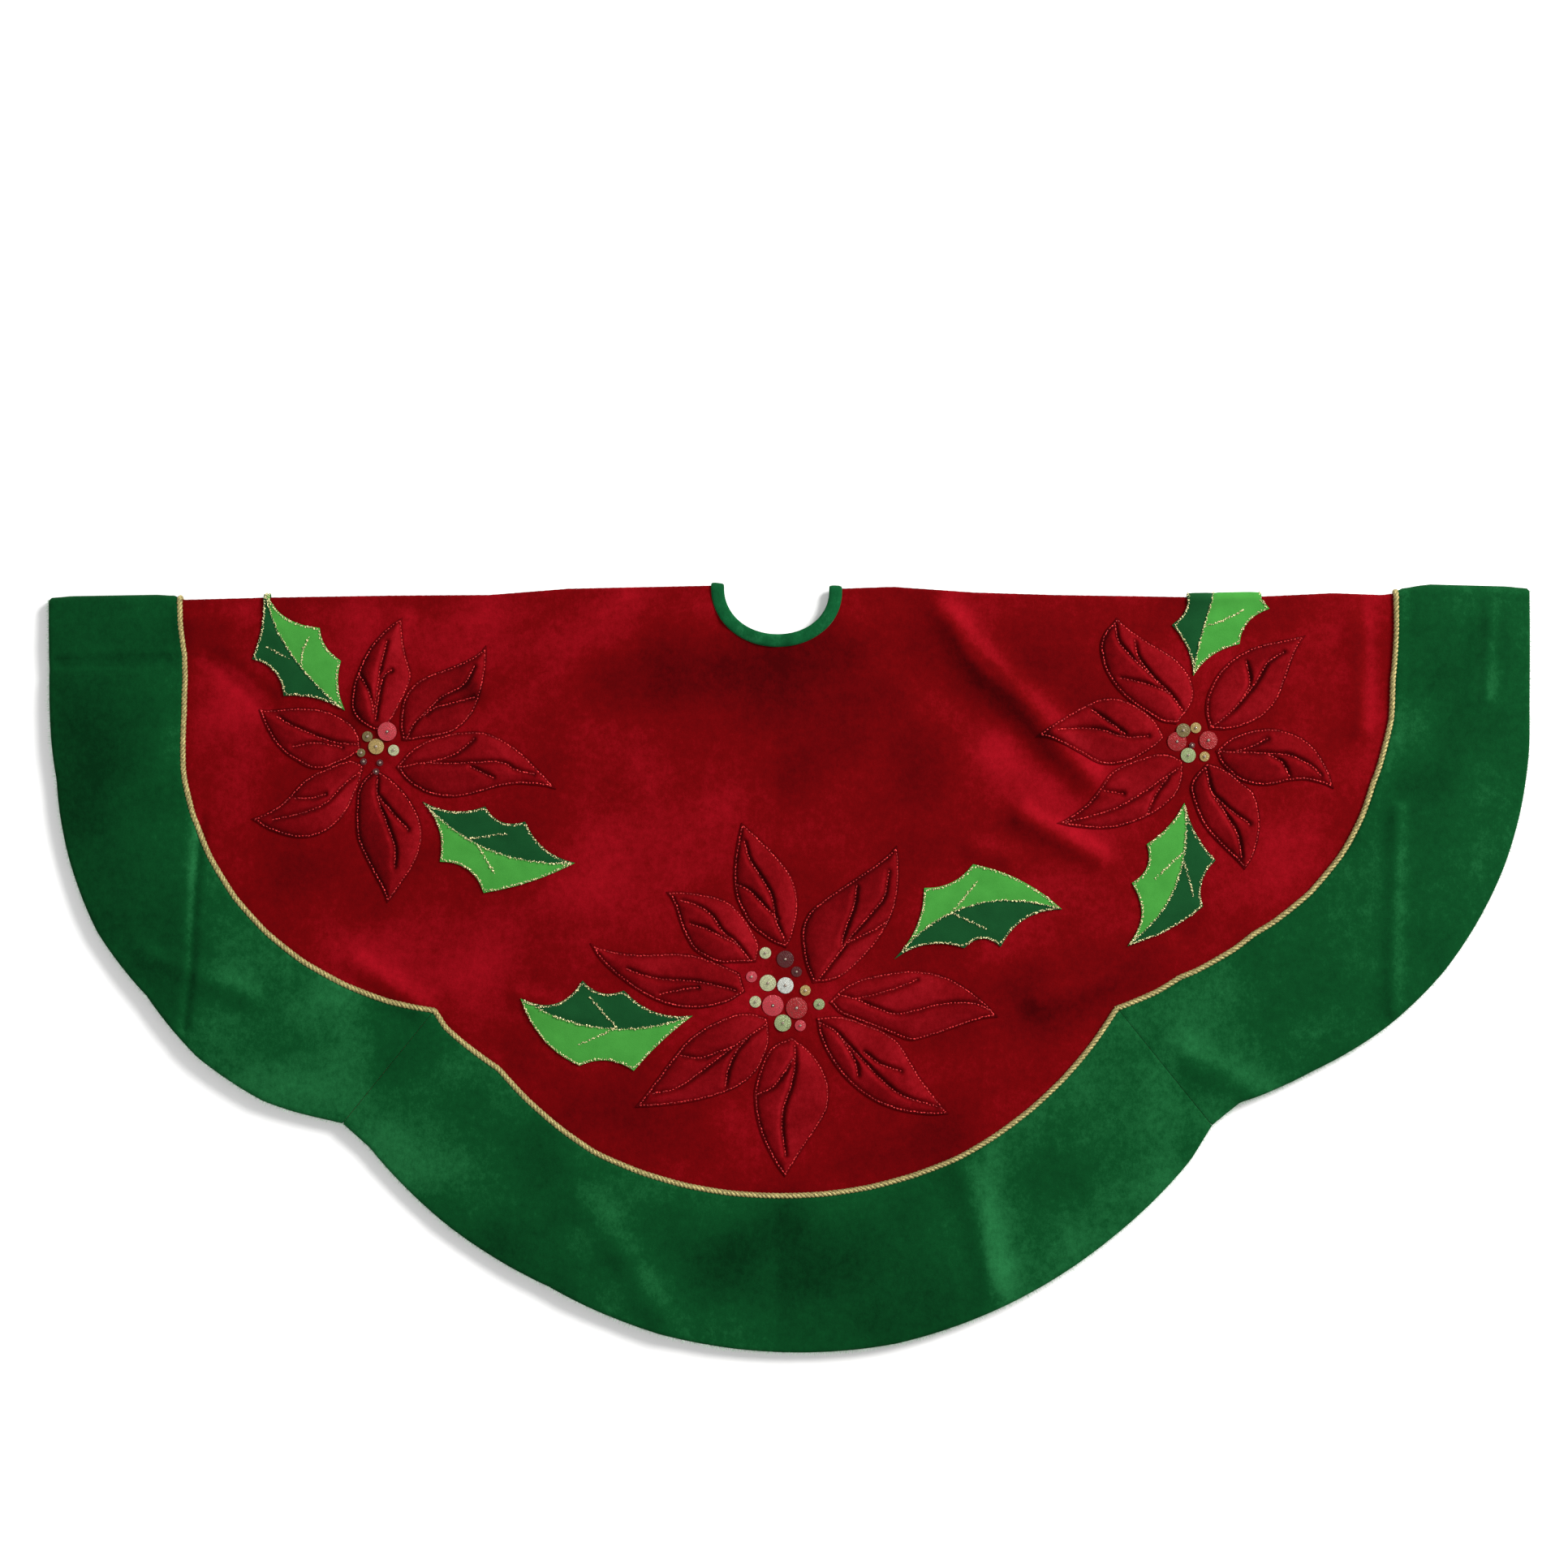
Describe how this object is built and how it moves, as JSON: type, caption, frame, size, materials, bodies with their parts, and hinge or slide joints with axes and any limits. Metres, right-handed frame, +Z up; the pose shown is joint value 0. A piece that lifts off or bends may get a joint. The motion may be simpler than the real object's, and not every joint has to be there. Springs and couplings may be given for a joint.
{
  "type": "tree skirt",
  "caption": "Scalloped velvet tree skirt with a green border, gold cord and quilted poinsettias and holly, folded in half and laid flat.",
  "frame": {"origin": "on the ground under the middle of the folded skirt's bounding box", "axes": "+X along the fold line, +Y from the front scallop's rim to the fold, +Z up from the ground through the front half's embroidered face"},
  "size_m": [1.1838, 0.6108, 0.012],
  "materials": {
    "red_velvet": "red crushed velvet",
    "petal_velvet": "red velvet with metallic red stitching",
    "green_velvet": "dark green velvet",
    "binding": "dark green folded tape",
    "lining": "plain woven lining",
    "gold_cord": "pale gold metallic twist",
    "leaf": "two greens of velvet with gold outlines",
    "sequins": "mixed bright sequins",
    "tape": "woven fastening tape"
  },
  "bodies": {
    "front": {"red_panel_front": "red_velvet", "lining_front": "lining", "neck_binding_front": "binding", "gold_cord_front": "gold_cord", "border_front": "green_velvet", "border_left_front": "green_velvet", "border_right_front": "green_velvet", "petal_centre_upper_right": "petal_velvet", "petal_centre_top": "petal_velvet", "petal_centre_upper_left": "petal_velvet", "petal_centre_left": "petal_velvet", "petal_centre_lower_left": "petal_velvet", "petal_centre_bottom": "petal_velvet", "petal_centre_lower_right": "petal_velvet", "petal_centre_right": "petal_velvet", "petal_left_upper_right": "petal_velvet", "petal_left_top": "petal_velvet", "petal_left_left": "petal_velvet", "petal_left_lower_left": "petal_velvet", "petal_left_bottom": "petal_velvet", "petal_left_right": "petal_velvet", "petal_right_upper_right": "petal_velvet", "petal_right_upper_left": "petal_velvet", "petal_right_left": "petal_velvet", "petal_right_lower_left": "petal_velvet", "petal_right_lower_right": "petal_velvet", "petal_right_right": "petal_velvet", "sequins_centre": "sequins", "sequins_left": "sequins", "sequins_right": "sequins", "holly_1": "leaf", "holly_2": "leaf", "holly_3": "leaf", "holly_4": "leaf", "holly_5_front": "leaf", "holly_6_front": "leaf"},
    "back_left": {"red_panel_back_left": "red_velvet", "lining_back_left": "lining", "neck_binding_back_left": "binding", "gold_cord_back_left": "gold_cord", "border_left_back": "green_velvet", "border_back_left": "green_velvet", "petals_back_left": "petal_velvet", "sequins_back_left": "sequins", "holly_5_back": "leaf", "holly_7": "leaf", "holly_8": "leaf", "hook_strip": "tape"},
    "back_right": {"red_panel_back_right": "red_velvet", "lining_back_right": "lining", "neck_binding_back_right": "binding", "gold_cord_back_right": "gold_cord", "border_right_back": "green_velvet", "border_back_right": "green_velvet", "petals_back_right": "petal_velvet", "sequins_back_right": "sequins", "holly_6_back": "leaf", "holly_9": "leaf", "holly_10": "leaf", "loop_strip": "tape"}
  },
  "joints": [
    {"name": "fold_left", "type": "hinge", "parent": "front", "child": "back_left", "pos_m": [0, 0.30557, 0.006], "axis": [1, 0, 0], "range_deg": [0, 180]},
    {"name": "fold_right", "type": "hinge", "parent": "front", "child": "back_right", "pos_m": [0, 0.30557, 0.006], "axis": [1, 0, 0], "range_deg": [0, 180]}
  ]
}
